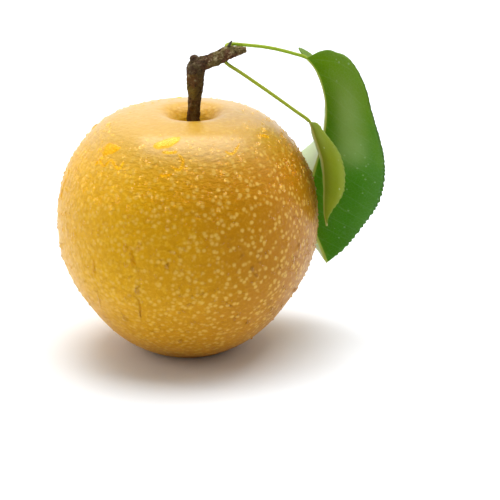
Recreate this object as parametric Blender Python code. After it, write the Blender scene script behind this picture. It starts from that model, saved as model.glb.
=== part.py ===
"""Asian pear, as picked: the fruit with its stalk, a piece of fruiting spur and two leaves.

Metres, +Z up. The fruit stands on the flat ring round its calyx basin. The origin is on the
floor, under the middle of the whole object's box.
"""
import math

import bmesh
import bpy
import numpy as np

# Fruit: widest radius, height to the shoulder, flat foot ring round the calyx basin.
FRUIT_RADIUS = 0.044
FRUIT_HEIGHT = 0.0824
FOOT_RADIUS = 0.015
BASIN_RADIUS = 0.0115
BASIN_DEPTH = 0.010
LOBE_HEIGHT = 0.0005
SHOULDER_TILT = 0.0004

# Stalk cavity: radius of its lip, depth below the shoulder, and how far it lies off the axis.
CAVITY_RADIUS = 0.011
CAVITY_DEPTH = 0.0087
CAVITY_SHIFT = 0.0019

# Calyx scar in the basin.
CALYX_RADIUS = 0.0024
CALYX_THICKNESS = 0.0012

# Stalk and spur.
STALK_LENGTH = 0.0218
STALK_DIAMETER = 0.0044
STALK_LEAN = 0.0012
JOINT_WIDTH = 1.35
SPUR_LENGTH = 0.0168
SPUR_RISE = 0.0078
SPUR_DIAMETER = 0.0046
STUB_LENGTH = 0.0034
BUD_LENGTH = 0.0024
BUD_DIAMETER = 0.0010

# Leaves.
PETIOLE_DIAMETER = 0.0012
LEAF_THICKNESS = 0.0005
LARGE_LEAF_DROP = 0.0768
LARGE_LEAF_HALF_WIDTH = 0.026
SMALL_LEAF_DROP = 0.0367
SMALL_LEAF_HALF_WIDTH = 0.0124

# Fits: the gap between pieces that touch, and the flesh's clearance round stalk and calyx.
GAP = 0.0003
CLEARANCE = 0.0008

FRUIT_STEPS = 52
RING_SIDES = 14


def smooth_curve(points, count):
    """Natural cubic spline through the points; columns after the third follow along."""
    points = np.array(points, float)
    last = len(points) - 1
    steps = np.linalg.norm(np.diff(points[:, :3], axis=0), axis=1) ** 0.5
    knots = np.concatenate([[0.0], np.cumsum(steps)])
    matrix = np.eye(last + 1)
    target = np.zeros_like(points)
    slopes = np.diff(points, axis=0) / steps[:, None]
    for i in range(1, last):
        matrix[i, i - 1:i + 2] = steps[i - 1], 2 * (steps[i - 1] + steps[i]), steps[i]
        target[i] = 6 * (slopes[i] - slopes[i - 1])
    bend = np.linalg.solve(matrix, target)
    at = np.linspace(0, knots[-1], count)
    i = np.clip(np.searchsorted(knots, at, side="right") - 1, 0, last - 1)
    step = steps[i][:, None]
    a = (knots[i + 1] - at)[:, None] / step
    b = 1 - a
    curve = a * points[i] + b * points[i + 1]
    return curve + ((a ** 3 - a) * bend[i] + (b ** 3 - b) * bend[i + 1]) * step ** 2 / 6


def unit(vectors):
    """The vectors at length 1."""
    return vectors / np.linalg.norm(vectors, axis=-1, keepdims=True)


def colour_material(name, colour, roughness):
    """Principled material of one colour."""
    material = bpy.data.materials.new(name)
    material.use_nodes = True
    shader = material.node_tree.nodes["Principled BSDF"]
    shader.inputs["Base Color"].default_value = (*colour, 1.0)
    shader.inputs["Roughness"].default_value = roughness
    shader.inputs["Metallic"].default_value = 0.0
    return material


def add_object(name, shape, parent, material):
    """Named object from a bmesh, shaded smooth and placed under the parent."""
    bmesh.ops.recalc_face_normals(shape, faces=shape.faces)
    mesh = bpy.data.meshes.new(name)
    shape.to_mesh(mesh)
    shape.free()
    mesh.shade_smooth()
    mesh.set_sharp_from_angle(angle=math.radians(50))
    mesh.materials.append(material)
    thing = bpy.data.objects.new(name, mesh)
    bpy.context.scene.collection.objects.link(thing)
    thing.parent = parent
    return thing


def turned(profile):
    """Closed solid: an (r, z) outline that starts and ends on the axis, turned round Z."""
    shape = bmesh.new()
    verts = [shape.verts.new((r, 0.0, z)) for r, z in profile]
    edges = [shape.edges.new(pair) for pair in zip(verts, verts[1:])]
    bmesh.ops.spin(shape, geom=verts + edges, cent=(0, 0, 0), axis=(0, 0, 1), dvec=(0, 0, 0),
                   angle=2 * math.pi, steps=FRUIT_STEPS, use_merge=True, use_duplicate=False)
    bmesh.ops.remove_doubles(shape, verts=shape.verts, dist=1e-6)
    return shape


def lofted(rings):
    """Closed solid over a row of point rings, with a cap on each end."""
    shape = bmesh.new()
    loops = [[shape.verts.new(point) for point in ring] for ring in rings]
    for lower, upper in zip(loops, loops[1:]):
        for i in range(len(lower)):
            shape.faces.new((lower[i - 1], lower[i], upper[i], upper[i - 1]))
    shape.faces.new(loops[0])
    shape.faces.new(loops[-1])
    return shape


def rod_rings(route, roughness):
    """Rings of a rod along a route in the XZ plane, rows (x, y, z, radius), slightly knotted."""
    along = unit(np.gradient(route[:, :3], axis=0))
    side = np.array([0.0, 1.0, 0.0])
    up = np.cross(along, side)
    turn = np.linspace(0, 2 * math.pi, RING_SIDES, endpoint=False)
    station = np.arange(len(route))[:, None]
    knots = 1 - roughness * (0.5 + 0.5 * np.cos(3 * turn + 1.3 * station))
    radius = route[:, 3:4] * knots
    across = (radius * np.cos(turn))[..., None] * side
    return route[:, None, :3] + across + (radius * np.sin(turn))[..., None] * up[:, None, :]


# Fruit

def fruit_outline():
    """(r, z) outline from the basin's centre, over the foot ring and the girth, to the cavity."""
    floor = CALYX_RADIUS + CLEARANCE
    share = np.linspace(0, 1, 8)
    basin = np.stack([floor + (BASIN_RADIUS - floor) * share,
                      BASIN_DEPTH * (0.5 + 0.5 * np.cos(math.pi * share))], axis=1)
    shares = [(0.42, 0.022), (0.61, 0.094), (0.802, 0.218), (0.96, 0.376), (1.0, 0.55),
              (0.959, 0.703), (0.849, 0.825), (0.607, 0.961), (0.389, 0.995)]
    body = [(r * FRUIT_RADIUS, z * FRUIT_HEIGHT) for r, z in shares]
    hole = STALK_DIAMETER / 2 + CLEARANCE
    lip = CAVITY_RADIUS - hole
    wall = [(hole + lip * r, FRUIT_HEIGHT - CAVITY_DEPTH * z)
            for r, z in ((1.0, 0.0), (0.56, 0.19), (0.26, 0.52), (0.0, 1.0))]
    outside = smooth_curve([(FOOT_RADIUS, 0.0)] + body + wall, 40)
    rows = [(0.0, BASIN_DEPTH), *basin, *outside, (0.0, FRUIT_HEIGHT - CAVITY_DEPTH)]
    return [(float(r), float(z)) for r, z in rows]


def grown(x, y, z):
    """A point of the turned fruit after growth: five faint lobes, a tilt, a cavity off centre."""
    radius = math.hypot(x, y)
    bearing = math.atan2(y, x)
    height = z / FRUIT_HEIGHT
    outer = max(0.0, min(1.0, (radius - FOOT_RADIUS) / (FRUIT_RADIUS - FOOT_RADIUS)))
    swell = LOBE_HEIGHT * outer * (math.sin(5 * bearing) + 0.8 * math.sin(2 * bearing))
    stretch = 1 + swell / max(radius, FOOT_RADIUS)
    tilt = -SHOULDER_TILT * x / FRUIT_RADIUS * height ** 2
    inner = max(0.0, min(1.0, (0.7 * FRUIT_RADIUS - radius) / (0.7 * FRUIT_RADIUS - CAVITY_RADIUS)))
    shift = CAVITY_SHIFT * inner * inner * (3 - 2 * inner) * (height > 0.5)
    return x * stretch + shift, y * stretch, z + tilt * outer


def make_fruit(parent):
    """The flesh and skin, one closed solid that stands on its foot ring."""
    shape = turned(fruit_outline())
    for vert in shape.verts:
        vert.co = grown(*vert.co)
    add_object("fruit", shape, parent, colour_material("skin", (0.62, 0.34, 0.04), 0.35))


def make_calyx(parent):
    """The dry corky scar under the basin's roof, a low dome with a sunk middle."""
    top = BASIN_DEPTH - GAP
    radius = CALYX_RADIUS
    low = top - CALYX_THICKNESS
    profile = [(0.0, low + 0.3 * CALYX_THICKNESS), (0.35 * radius, low + 0.25 * CALYX_THICKNESS),
               (0.6 * radius, low), (0.85 * radius, low + 0.1 * CALYX_THICKNESS),
               (radius, low + 0.5 * CALYX_THICKNESS), (radius, top), (0.0, top)]
    add_object("calyx", turned(profile), parent, colour_material("cork", (0.07, 0.04, 0.02), 0.9))


# Stalk, spur and bud

def stalk_foot():
    """Height of the stalk's foot, just clear of the cavity's floor."""
    return FRUIT_HEIGHT - CAVITY_DEPTH + GAP


def make_stalk(parent):
    """The woody stalk, which widens into the joint under the spur."""
    foot = stalk_foot()
    radius = STALK_DIAMETER / 2
    stations = ((0.0, 1.0), (0.3, 0.98), (0.6, 1.0), (0.76, 1.2), (0.88, 1.31), (1.0, JOINT_WIDTH))
    rows = [(CAVITY_SHIFT + STALK_LEAN * share, 0.0, foot + STALK_LENGTH * share, radius * width)
            for share, width in stations]
    add_object("stalk", lofted(rod_rings(smooth_curve(rows, 16), 0.05)), parent,
               colour_material("bark", (0.10, 0.075, 0.035), 0.85))


def spur_route(count):
    """Rows (x, y, z, radius) from just over the stalk's top to the spur's broken end."""
    start_x = CAVITY_SHIFT + STALK_LEAN
    start_z = stalk_foot() + STALK_LENGTH + GAP
    joint = JOINT_WIDTH * STALK_DIAMETER / SPUR_DIAMETER
    stations = ((0.0, 0.0, joint), (0.015, 0.22, joint), (0.12, 0.38, 1.1), (0.28, 0.49, 0.98),
                (0.48, 0.68, 1.0), (0.66, 0.86, 0.92), (0.83, 0.94, 0.68), (1.0, 0.99, 0.36))
    rows = [(start_x + SPUR_LENGTH * along, 0.0, start_z + SPUR_RISE * up, SPUR_DIAMETER / 2 * width)
            for along, up, width in stations]
    return smooth_curve(rows, count)


def spur_surface(share, lean, beyond):
    """Point beyond the spur's bark at a share of its route, lean degrees from straight up to +Y."""
    route = spur_route(101)
    row = round(100 * share)
    along = unit(route[row + 1, :3] - route[row - 1, :3])
    side = np.array([0.0, 1.0, 0.0])
    up = np.cross(along, side)
    outward = math.sin(math.radians(lean)) * side + math.cos(math.radians(lean)) * up
    return route[row, :3] + outward * (route[row, 3] + beyond), outward


def make_spur(parent):
    """The knuckle and broken spur, with the stub of an older shoot united to the knuckle."""
    bark = colour_material("spur_bark", (0.13, 0.085, 0.06), 0.85)
    spur = add_object("spur", lofted(rod_rings(spur_route(20), 0.08)), parent, bark)
    knuckle = spur_route(20)[3]
    stub_rows = [(knuckle[0] - 0.55 * STUB_LENGTH * share, 0.0, knuckle[2] + STUB_LENGTH * share,
                  SPUR_DIAMETER * (0.50 - 0.26 * share)) for share in (0.0, 0.35, 0.7, 1.0)]
    stub = add_object("stub_guide", lofted(rod_rings(np.array(stub_rows), 0.08)), parent, bark)
    stub.hide_render = True
    stub.display_type = "WIRE"
    union = spur.modifiers.new("stub", "BOOLEAN")
    union.operation = "UNION"
    union.solver = "EXACT"
    union.object = stub


def make_bud(parent):
    """The small pointed bud that leans out of the spur's upper side."""
    root, outward = spur_surface(0.73, -8, GAP)
    tip = root + unit(outward + np.array([0.9, 0.0, 0.0])) * BUD_LENGTH
    rows = [(*(root + (tip - root) * share), BUD_DIAMETER / 2 * width)
            for share, width in ((0.0, 0.7), (0.3, 1.0), (0.6, 0.85), (0.85, 0.45), (1.0, 0.1))]
    add_object("bud", lofted(rod_rings(smooth_curve(rows, 9), 0.0)), parent,
               colour_material("bud_scales", (0.08, 0.08, 0.03), 0.6))


# Leaves

def direction(bearing, rise):
    """Unit vectors at a bearing from +X towards +Y and a rise above level, in degrees."""
    bearing = np.radians(bearing)
    rise = np.radians(rise)
    return np.stack([np.cos(rise) * np.cos(bearing), np.cos(rise) * np.sin(bearing),
                     np.sin(rise)], axis=-1)


def leaf_route(root, reach, sag, blade, drop, half_width):
    """Spline rows of a leaf: x, y, z, blade share, half width, near bearing and rise, far ones.

    The petiole arches from its root to the blade's base. Each blade row gives the gap beyond the
    fruit's girth, the bearing, the share of the drop below the shoulder, the share of the half
    width, and where the near and the far half point: bearing and rise.
    """
    places = []
    for gap, bearing, down, width, *sides in blade:
        reach_out = FRUIT_RADIUS + gap
        turn = math.radians(bearing)
        places.append([reach_out * math.cos(turn), reach_out * math.sin(turn),
                       FRUIT_HEIGHT - drop * down, 1.0, half_width * width, *sides])
    places[0][3:5] = 0.0, 0.0
    base = np.array(places[0][:3])
    stem = [[*root, 0.0, 0.0, *places[0][5:]]]
    for share in reach:
        middle = root + (base - root) * share
        middle[2] += sag * 4 * share * (1 - share)
        stem.append([*middle, 0.0, 0.0, *places[0][5:]])
    return smooth_curve(stem + places, 44)


def leaf_rings(route):
    """Rings round petiole and blade: a circle that opens into two thin wings and a midrib."""
    place = route[:, :3]
    bladed = np.clip(route[:, 3:4], 0, 1)
    stem = PETIOLE_DIAMETER / 2 * (1 - 0.65 * bladed * np.linspace(0, 1, len(route))[:, None])
    wide = np.maximum(route[:, 4:5], 0.25 * PETIOLE_DIAMETER)
    along = unit(np.gradient(place, axis=0))
    near = direction(route[:, 5], route[:, 6])
    far = direction(route[:, 7], route[:, 8])
    near_up = unit(np.cross(along, near))
    far_up = unit(np.cross(far, along))
    middle_up = unit(near_up + far_up)
    middle_side = unit(np.cross(middle_up, along))
    turn = np.arange(16) * math.pi / 8
    reach = np.array([1.0, 0.68, 0.34, 0.05, 0.0, 0.05, 0.34, 0.68] * 2)
    reach[8] = 1.0
    nearside = (np.cos(turn) > 0.1)[None, :, None]
    farside = (np.cos(turn) < -0.1)[None, :, None]
    side = np.where(nearside, near[:, None], np.where(farside, far[:, None], 0.0))
    up = np.where(nearside, near_up[:, None], np.where(farside, far_up[:, None], middle_up[:, None]))
    half = LEAF_THICKNESS / 2 * np.sign(np.round(np.sin(turn), 6))
    height = np.broadcast_to(half, (len(route), 16)).copy()
    height[:, 12] = -stem[:, 0] - LEAF_THICKNESS / 2
    wing = side * (wide * reach)[..., None] + up * height[..., None]
    tube = middle_side[:, None] * (stem * np.cos(turn))[..., None]
    tube = tube + middle_up[:, None] * (stem * np.sin(turn))[..., None]
    opened = bladed[..., None]
    return place[:, None] + tube * (1 - opened) + wing * opened


def make_large_leaf(parent, material):
    """The large leaf: its petiole arches away from the spur and the blade hangs by the fruit."""
    root, _ = spur_surface(0.72, 40, GAP + PETIOLE_DIAMETER / 2)
    blade = (
        (-0.0025, 18.3, -0.20, 0.0, -30, 40, 106, 6),
        (-0.0014, 18.2, -0.185, 0.20, -32, 40, 120, 38),
        (-0.0001, 18.0, -0.165, 0.37, -36, 38, 100, 14),
        (0.0021, 17.8, -0.12, 0.56, -41, 33, 102, 1),
        (0.0048, 17.9, -0.01, 0.82, -47, 15, 96, 1),
        (0.0054, 18.9, 0.12, 0.88, -42, 11, 87, 8),
        (0.0043, 21.9, 0.26, 0.95, -30, 7, 83, 5),
        (0.0032, 25.3, 0.38, 1.0, -18, 5, 101, 0),
        (0.0034, 27.9, 0.50, 0.94, -14, 2, 111, 0),
        (0.0052, 29.3, 0.63, 0.68, -13, 1, 117, 0),
        (0.0082, 28.6, 0.74, 0.33, -13, 0, 118, 0),
        (0.0104, 27.8, 0.82, 0.0, -13, 0, 118, 0),
    )
    route = leaf_route(root, (0.2, 0.45, 0.7, 0.88), 0.0012, blade, LARGE_LEAF_DROP,
                       LARGE_LEAF_HALF_WIDTH)
    add_object("large_leaf", lofted(leaf_rings(route)), parent, material)


def make_small_leaf(parent, material):
    """The small leaf: a straight petiole from under the spur, and a folded, hanging blade."""
    root, _ = spur_surface(0.60, 185, GAP + PETIOLE_DIAMETER / 2)
    blade = (
        (-0.0034, -2.1, 0.07, 0.0, -50, 24, 98, 4),
        (-0.0028, -2.4, 0.10, 0.24, -52, 26, 98, 4),
        (-0.0020, -2.8, 0.15, 0.44, -55, 26, 98, 2),
        (-0.0009, -3.3, 0.24, 0.66, -58, 24, 98, 0),
        (0.0012, -3.8, 0.41, 0.93, -59, 18, 95, 0),
        (0.0020, -4.4, 0.57, 1.0, -59, 13, 92, 0),
        (0.0022, -4.4, 0.71, 0.96, -58, 13, 91, 0),
        (0.0022, -5.0, 0.83, 0.74, -59, 14, 90, 0),
        (0.0024, -6.2, 0.93, 0.32, -60, 14, 90, 0),
        (0.0032, -7.3, 1.04, 0.0, -60, 14, 90, 0),
    )
    route = leaf_route(root, (0.12, 0.35, 0.6, 0.84), 0.0003, blade, SMALL_LEAF_DROP,
                       SMALL_LEAF_HALF_WIDTH)
    add_object("small_leaf", lofted(leaf_rings(route)), parent, material)


# Assembly

def centre_on_floor(root):
    """Moves the root empty so that the origin lies under the middle of the object's box."""
    bpy.context.view_layer.update()
    graph = bpy.context.evaluated_depsgraph_get()
    corners = []
    for thing in root.children:
        if not thing.hide_render:
            solid = thing.evaluated_get(graph)
            corners.extend(vert.co[:2] for vert in solid.data.vertices)
    corners = np.array(corners)
    middle = (corners.min(axis=0) + corners.max(axis=0)) / 2
    root.location = (-middle[0], -middle[1], 0.0)
    bpy.context.view_layer.update()


for old in list(bpy.data.objects):
    bpy.data.objects.remove(old)
pear = bpy.data.objects.new("asian_pear", None)
bpy.context.scene.collection.objects.link(pear)
leaf_green = colour_material("leaf", (0.10, 0.22, 0.03), 0.45)
make_fruit(pear)
make_calyx(pear)
make_stalk(pear)
make_spur(pear)
make_bud(pear)
make_large_leaf(pear, leaf_green)
make_small_leaf(pear, leaf_green)
centre_on_floor(pear)
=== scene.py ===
"""Asian pear as picked, wet from washing: fruit, stalk, fruiting spur, bud and two leaves.

Metres, +Z up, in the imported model's own place. The fruit is put together from its skin outwards:
skin, calyx scar, stalk, spur, bud, leaves, and then the water that lies on it.
"""

import bpy
import numpy as np
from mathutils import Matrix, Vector


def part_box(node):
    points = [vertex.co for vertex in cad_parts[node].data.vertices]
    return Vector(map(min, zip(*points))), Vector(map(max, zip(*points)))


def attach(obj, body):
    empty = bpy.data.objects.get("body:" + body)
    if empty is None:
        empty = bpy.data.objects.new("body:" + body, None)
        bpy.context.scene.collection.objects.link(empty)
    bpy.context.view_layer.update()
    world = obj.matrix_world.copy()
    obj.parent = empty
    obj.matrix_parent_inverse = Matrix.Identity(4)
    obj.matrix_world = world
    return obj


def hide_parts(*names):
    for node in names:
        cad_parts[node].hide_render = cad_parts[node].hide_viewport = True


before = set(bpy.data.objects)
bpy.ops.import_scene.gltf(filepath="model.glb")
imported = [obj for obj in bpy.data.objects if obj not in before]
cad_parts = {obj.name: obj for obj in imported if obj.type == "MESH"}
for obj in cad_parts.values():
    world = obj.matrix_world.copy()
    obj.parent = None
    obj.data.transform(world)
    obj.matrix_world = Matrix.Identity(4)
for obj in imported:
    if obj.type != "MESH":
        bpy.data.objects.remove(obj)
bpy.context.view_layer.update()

# Fruit
#
# The ripe fruit: a thin golden skin over firm flesh, with pale corky lenticels all over it, a
# round basin below and a narrow cavity above that holds the stalk. It stands on its foot ring.

FRUIT_RADIUS = 0.044
FRUIT_HEIGHT = 0.0824
FOOT_RADIUS = 0.015
BASIN_RADIUS = 0.0115
BASIN_DEPTH = 0.010
LOBE_HEIGHT = 0.0005
SHOULDER_TILT = 0.0004
CAVITY_RADIUS = 0.011
CAVITY_DEPTH = 0.0087
CAVITY_SHIFT = 0.0019
CALYX_RADIUS = 0.0024
CLEARANCE = 0.0008
STALK_DIAMETER = 0.0044
POLE_RADIUS = 0.0001
SWELL_HEIGHT, SWELL_LENGTH = 0.00012, 0.014
DIMPLE_HEIGHT, DIMPLE_LENGTH = 0.00003, 0.004
SKIN_ROWS, SKIN_COLUMNS = 262, 360
FRUIT_AXIS = (np.array(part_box("calyx")[0]) + np.array(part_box("calyx")[1])) / 2 * (1, 1, 0)


def smooth_curve(points, count):
    """Natural cubic spline through the points, whose knots lie a root of the distance apart.

    Between two knots a curve is the blend of the two points plus, for each end's bend, the cube
    of its share less the share, times the step squared over six. Columns after the third follow.
    """
    points = np.array(points, float)
    last = len(points) - 1
    steps = np.linalg.norm(np.diff(points[:, :3], axis=0), axis=1) ** 0.5
    knots = np.concatenate([[0.0], np.cumsum(steps)])
    matrix = np.eye(last + 1)
    target = np.zeros_like(points)
    slopes = np.diff(points, axis=0) / steps[:, None]
    for i in range(1, last):
        matrix[i, i - 1:i + 2] = steps[i - 1], 2 * (steps[i - 1] + steps[i]), steps[i]
        target[i] = 6 * (slopes[i] - slopes[i - 1])
    bend = np.linalg.solve(matrix, target)
    at = np.linspace(0, knots[-1], count)
    i = np.clip(np.searchsorted(knots, at, side="right") - 1, 0, last - 1)
    step = steps[i][:, None]
    a = (knots[i + 1] - at)[:, None] / step
    b = 1 - a
    curve = a * points[i] + b * points[i + 1]
    return curve + ((a ** 3 - a) * bend[i] + (b ** 3 - b) * bend[i + 1]) * step ** 2 / 6


def unit(vectors):
    """The vectors at length 1."""
    return vectors / np.linalg.norm(vectors, axis=-1, keepdims=True)


def ripple(points, wavelength, seed):
    """Even random swell, about -1 to 1: cosine waves of near one length, each on its own heading
    and phase, added up and divided by twice the root of half their number."""
    waves = 30
    chance = np.random.default_rng(seed)
    headings = unit(chance.normal(size=(waves, 3)))
    lengths = wavelength * chance.uniform(0.75, 1.35, (waves, 1))
    phases = chance.uniform(0, 2 * np.pi, waves)
    total = np.cos(points @ (2 * np.pi * headings / lengths).T + phases).sum(axis=-1)
    return total / (waves // 2) ** 0.5 / 2


def rising(value, low, high):
    """0 below low, 1 above high, and three squares less two cubes of the share between."""
    share = np.clip((value - low) / (high - low), 0, 1)
    return share * share * (3 - 2 * share)


def mesh_piece(name, points, faces, finish):
    """Object of the points and faces, turned to face outwards: where the sum of the faces' signed
    volumes from the origin is negative, every face is listed the other way round."""
    corners = points[faces]
    fan = np.cross(corners[:, 1], corners[:, 2]) + np.cross(corners[:, 2], corners[:, -1])
    if (corners[:, 0] * fan).sum() < 0:
        faces = faces[:, ::-1]
    mesh = bpy.data.meshes.new(name)
    mesh.from_pydata(points.tolist(), [], [list(dict.fromkeys(face)) for face in faces.tolist()])
    mesh.shade_smooth()
    mesh.materials.append(finish.material)
    piece = bpy.data.objects.new(name, mesh)
    bpy.context.scene.collection.objects.link(piece)
    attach(piece, "root")
    return piece


def closed_faces(rows, sides):
    """Faces over a grid whose columns close on themselves, with a fan on each end: point number
    row times sides plus column, then the two end points. A fan's face repeats its end point."""
    row = np.arange(rows - 1)[:, None] * sides
    here = np.arange(sides)[None, :]
    after = (here + 1) % sides
    wall = np.stack([row + here, row + after, row + sides + after, row + sides + here], axis=-1)
    low = np.full(sides, rows * sides)
    top = (rows - 1) * sides
    low_fan = np.stack([low, low, after[0], here[0]], axis=-1)
    high_fan = np.stack([top + here[0], top + after[0], low + 1, low + 1], axis=-1)
    return np.concatenate([wall.reshape(-1, 4), low_fan, high_fan])


def closed_points(rings):
    """The rings' points and then the middle of the first and the last ring."""
    ends = rings[[0, -1]].mean(axis=1)
    return np.concatenate([rings.reshape(-1, 3), ends])


def fruit_outline(count):
    """Outline from the basin's roof over the foot ring and the girth into the cavity, as columns
    of radius and height: the basin falls by half a cosine wave, and the rest is one spline."""
    floor = CALYX_RADIUS + CLEARANCE
    share = np.linspace(0, 1, 60)
    basin = np.stack([floor + (BASIN_RADIUS - floor) * share,
                      BASIN_DEPTH * (0.5 + 0.5 * np.cos(np.pi * share))], axis=1)
    shares = [(0.42, 0.022), (0.61, 0.094), (0.802, 0.218), (0.96, 0.376), (1.0, 0.55),
              (0.959, 0.703), (0.849, 0.825), (0.607, 0.961), (0.389, 0.995)]
    hole = STALK_DIAMETER / 2 + CLEARANCE
    lip = CAVITY_RADIUS - hole
    wall = [(hole + lip * r, FRUIT_HEIGHT - CAVITY_DEPTH * z)
            for r, z in ((1.0, 0.0), (0.56, 0.19), (0.26, 0.52), (0.0, 1.0))]
    body = [(FOOT_RADIUS, 0.0)] + [(r * FRUIT_RADIUS, z * FRUIT_HEIGHT) for r, z in shares] + wall
    roof = [(POLE_RADIUS, BASIN_DEPTH)]
    hollow = [(POLE_RADIUS, FRUIT_HEIGHT - CAVITY_DEPTH)]
    rows = np.concatenate([roof, basin, smooth_curve(body, 2400), hollow])
    length = np.concatenate([[0.0], np.cumsum(np.linalg.norm(np.diff(rows, axis=0), axis=1))])
    even = np.linspace(0, length[-1], count)
    return np.stack([np.interp(even, length, column) for column in rows.T], axis=1)


OUTLINE = fruit_outline(3001)


def skin_point(bearing, station):
    """Point of the skin at a bearing in radians and a share of the outline's length.

    The turned outline swells outwards by five and two waves round, leans with the square of its
    height, and its cavity lies to one side. A slow random swell and fine dimples go over all,
    away from the middle of the fruit.
    """
    shares = np.linspace(0, 1, len(OUTLINE))
    radius = np.interp(station, shares, OUTLINE[:, 0])
    height = np.interp(station, shares, OUTLINE[:, 1])
    outer = np.clip((radius - FOOT_RADIUS) / (FRUIT_RADIUS - FOOT_RADIUS), 0, 1)
    swell = LOBE_HEIGHT * outer * (np.sin(5 * bearing) + 0.8 * np.sin(2 * bearing))
    inner = rising(0.7 * FRUIT_RADIUS - radius, 0, 0.7 * FRUIT_RADIUS - CAVITY_RADIUS)
    tilt = -SHOULDER_TILT * np.cos(bearing) * radius / FRUIT_RADIUS
    tilt = tilt * (height / FRUIT_HEIGHT) ** 2 * outer
    out = radius * (1 + swell / np.maximum(radius, FOOT_RADIUS))
    x = out * np.cos(bearing) + CAVITY_SHIFT * inner * (height > 0.5 * FRUIT_HEIGHT)
    point = np.stack([x, out * np.sin(bearing), height + tilt], axis=-1)
    uneven = SWELL_HEIGHT * ripple(point, SWELL_LENGTH, 3)
    uneven = uneven + DIMPLE_HEIGHT * ripple(point, DIMPLE_LENGTH, 4)
    away = unit(point - (0, 0, 0.5 * FRUIT_HEIGHT))
    return point + away * (uneven * outer)[..., None] + FRUIT_AXIS


class Value:
    """A node's output. Sums, differences, products and quotients of it are Math nodes."""

    def __init__(self, finish, socket):
        self.finish = finish
        self.socket = socket

    def maths(self, operation, first, second):
        return self.finish.node("Math", {"operation": operation}, {0: first, 1: second})

    def __add__(self, other):
        return self.maths("ADD", self, other)

    def __radd__(self, other):
        return self.maths("ADD", other, self)

    def __sub__(self, other):
        return self.maths("SUBTRACT", self, other)

    def __rsub__(self, other):
        return self.maths("SUBTRACT", other, self)

    def __mul__(self, other):
        return self.maths("MULTIPLY", self, other)

    def __rmul__(self, other):
        return self.maths("MULTIPLY", other, self)

    def __truediv__(self, other):
        return self.maths("DIVIDE", self, other)

    def __rtruediv__(self, other):
        return self.maths("DIVIDE", other, self)


class Finish:
    """One procedural material, built node by node."""

    def __init__(self, name):
        self.material = bpy.data.materials.new(name)
        self.material.use_nodes = True
        self.tree = self.material.node_tree
        self.tree.nodes.clear()

    def node(self, kind, settings=None, inputs=None, output=0):
        """New node of a kind with its settings; its inputs are set, or linked from a Value."""
        made = self.tree.nodes.new("ShaderNode" + kind)
        for key, setting in (settings or {}).items():
            setattr(made, key, setting)
        for key, value in (inputs or {}).items():
            socket = made.inputs[key]
            if isinstance(value, Value):
                self.tree.links.new(value.socket, socket)
            elif socket.type == "RGBA":
                socket.default_value = (*value, 1.0)
            else:
                socket.default_value = value
        return Value(self, made.outputs[output]) if made.outputs else None

    def mix(self, share, first, second):
        """The first colour at 0 and the second at 1."""
        return self.node("Mix", {"data_type": "RGBA"}, {0: share, 6: first, 7: second}, 2)

    def rise(self, value, low, high):
        """Soft step of the value from 0 at low to 1 at high."""
        return self.node("MapRange", {"interpolation_type": "SMOOTHSTEP"},
                         {"Value": value, "From Min": low, "From Max": high})

    def cloud(self, place, size, detail=3.0, roughness=0.5):
        """Noise from 0 to 1 whose patches are about the size across, in metres."""
        return self.node("TexNoise", {}, {"Vector": place, "Scale": 1 / size, "Detail": detail,
                                          "Roughness": roughness})

    def relief(self, height, depth):
        """Normal of a surface raised by depth, in metres, where the height is 1."""
        return self.node("Bump", {}, {"Strength": 1.0, "Distance": depth, "Height": height})

    def surface(self, inputs):
        """Principled shader with these inputs, joined to the material's output."""
        shader = self.node("BsdfPrincipled", {}, inputs)
        self.node("OutputMaterial", {}, {"Surface": shader})


SKIN_GOLD = (0.72, 0.375, 0.004)
SKIN_AMBER = (0.44, 0.170, 0.002)
SKIN_ORANGE = (0.60, 0.250, 0.008)
SKIN_SHADE = (0.46, 0.200, 0.004)
FLECK_AND_PAINTED_GLINT = (0.90, 0.57, 0.05)
CAVITY_PAINTED_SHADE = (0.55, 0.29, 0.004)
SHOULDER_PAINTED_SHADE = (0.50, 0.29, 0.016)
LENTICEL = (0.84, 0.56, 0.12)
LENTICEL_CELL = 0.00206
SKIN_RELIEF = 0.00006

# Amber on the right and gold on the left: the fruit's own colour, with painted light on the side
# the left lamp lights. Orange low down, mottled, flecked with pale grain and with painted glints
# of wet skin, pale lenticels scattered over it, and painted shade: a darker, browner gold on the
# shoulder round the cavity and a darker gold inside it.
skin = Finish("pear_skin")
place = skin.node("TexCoord", output="Object")
centred = skin.node("Mapping", {}, {"Vector": place, "Location": tuple(-FRUIT_AXIS)})
east = skin.node("SeparateXYZ", {}, {"Vector": centred}, "X")
height = skin.node("SeparateXYZ", {}, {"Vector": centred}, "Z")
patches = skin.cloud(place, 0.016, 4.0)
mottle = skin.cloud(place, 0.0022, 4.0, 0.65)
# Gold towards the lamp-lit left: partly the fruit's own colour, partly painted light.
sun_side_and_painted_light = skin.rise(east + (patches - 0.5) * 0.020, 0.034, -0.036)
colour = skin.mix(sun_side_and_painted_light, SKIN_AMBER, SKIN_GOLD)
low_down = skin.rise(height + (patches - 0.5) * 0.02, 0.034, 0.002)
colour = skin.mix(low_down * 0.75, colour, SKIN_ORANGE)
colour = skin.mix(skin.rise(mottle, 0.38, 0.66) * 0.30, colour, SKIN_SHADE)
grain = skin.cloud(place, 0.0012, 3.0, 0.6)
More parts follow.
